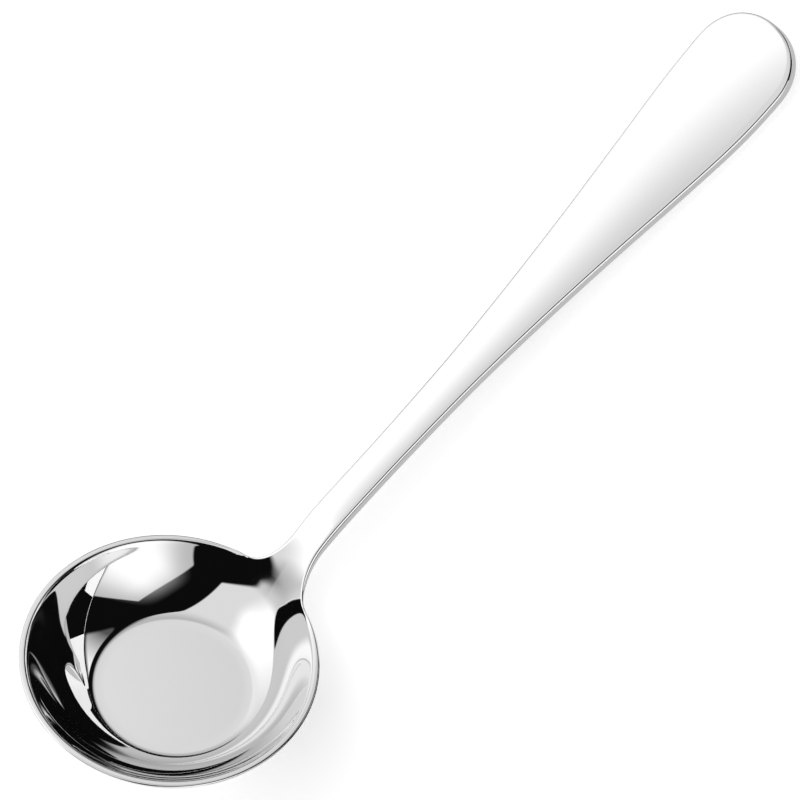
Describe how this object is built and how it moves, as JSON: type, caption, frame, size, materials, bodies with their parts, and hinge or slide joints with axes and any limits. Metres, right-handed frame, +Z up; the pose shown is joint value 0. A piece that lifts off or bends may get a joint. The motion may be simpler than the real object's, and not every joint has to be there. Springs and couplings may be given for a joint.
{
  "type": "soup spoon",
  "caption": "Round soup spoon with a flat-bottomed bowl, a narrow neck and a long rising handle that widens to a rounded end, in mirror-polished stainless steel.",
  "frame": {"origin": "centre of the spoon's bounding box, on the table that the spoon lies on", "axes": "+X along the spoon towards the end of the handle, +Z up from the table, the spoon is even about the XZ plane"},
  "size_m": [0.1672, 0.05, 0.0329],
  "materials": {
    "polished_steel": "mirror-polished stainless steel"
  },
  "bodies": {
    "root": {"bowl": "polished_steel", "neck": "polished_steel", "handle": "polished_steel"}
  },
  "joints": []
}
